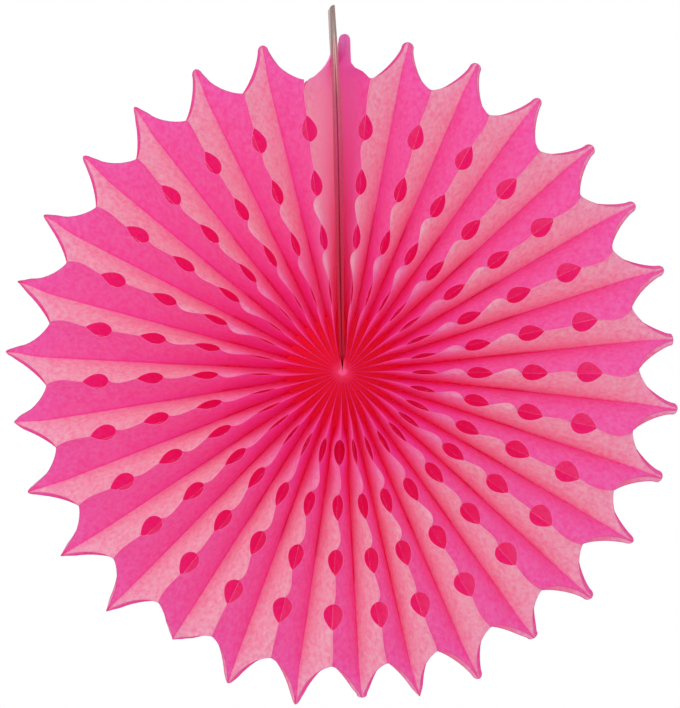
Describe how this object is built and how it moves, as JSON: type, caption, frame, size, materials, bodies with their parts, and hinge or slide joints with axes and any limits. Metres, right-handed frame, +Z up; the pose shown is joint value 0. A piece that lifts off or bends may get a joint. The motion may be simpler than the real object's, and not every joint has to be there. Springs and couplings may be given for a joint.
{
  "type": "honeycomb paper fan",
  "caption": "Round hanging honeycomb fan of pasted die-cut tissue leaves, opened to a full rosette with a scalloped star rim and pierced ridges, between two card boards.",
  "frame": {"origin": "middle of the hang hole, on the seam plane between the two boards", "axes": "+Z up along the boards, +Y from the fan's front to its back, +X to the right as seen from the front"},
  "size_m": [0.451, 0.053, 0.4709],
  "materials": {
    "tissue": "thin dyed tissue paper, light and mottled on its rough side, deeper and smooth on the other",
    "greyboard": "bare grey chipboard with fine fibre flecks"
  },
  "bodies": {
    "root": {"right_board": "greyboard", "left_board": "greyboard", "leaf_02": "tissue", "leaf_03": "tissue", "leaf_04": "tissue", "leaf_05": "tissue", "leaf_06": "tissue", "leaf_07": "tissue", "leaf_08": "tissue", "leaf_09": "tissue", "leaf_10": "tissue", "leaf_11": "tissue", "leaf_12": "tissue", "leaf_13": "tissue", "leaf_14": "tissue", "leaf_15": "tissue", "leaf_16": "tissue", "leaf_17": "tissue", "leaf_18": "tissue", "leaf_19": "tissue", "leaf_20": "tissue", "leaf_21": "tissue", "leaf_22": "tissue", "leaf_23": "tissue", "leaf_24": "tissue", "leaf_25": "tissue", "leaf_26": "tissue", "leaf_27": "tissue", "leaf_28": "tissue", "leaf_29": "tissue", "leaf_30": "tissue", "leaf_31": "tissue", "leaf_32": "tissue", "leaf_33": "tissue", "leaf_34": "tissue", "leaf_35": "tissue", "leaf_36": "tissue", "leaf_37": "tissue", "leaf_38": "tissue", "leaf_39": "tissue", "leaf_40": "tissue", "leaf_41": "tissue", "leaf_42": "tissue", "leaf_43": "tissue", "leaf_44": "tissue", "leaf_45": "tissue", "leaf_46": "tissue", "leaf_47": "tissue", "leaf_48": "tissue", "leaf_49": "tissue", "leaf_50": "tissue", "leaf_51": "tissue", "leaf_52": "tissue", "leaf_53": "tissue", "leaf_54": "tissue", "leaf_55": "tissue", "leaf_56": "tissue", "leaf_57": "tissue", "leaf_58": "tissue", "leaf_59": "tissue"}
  },
  "joints": []
}
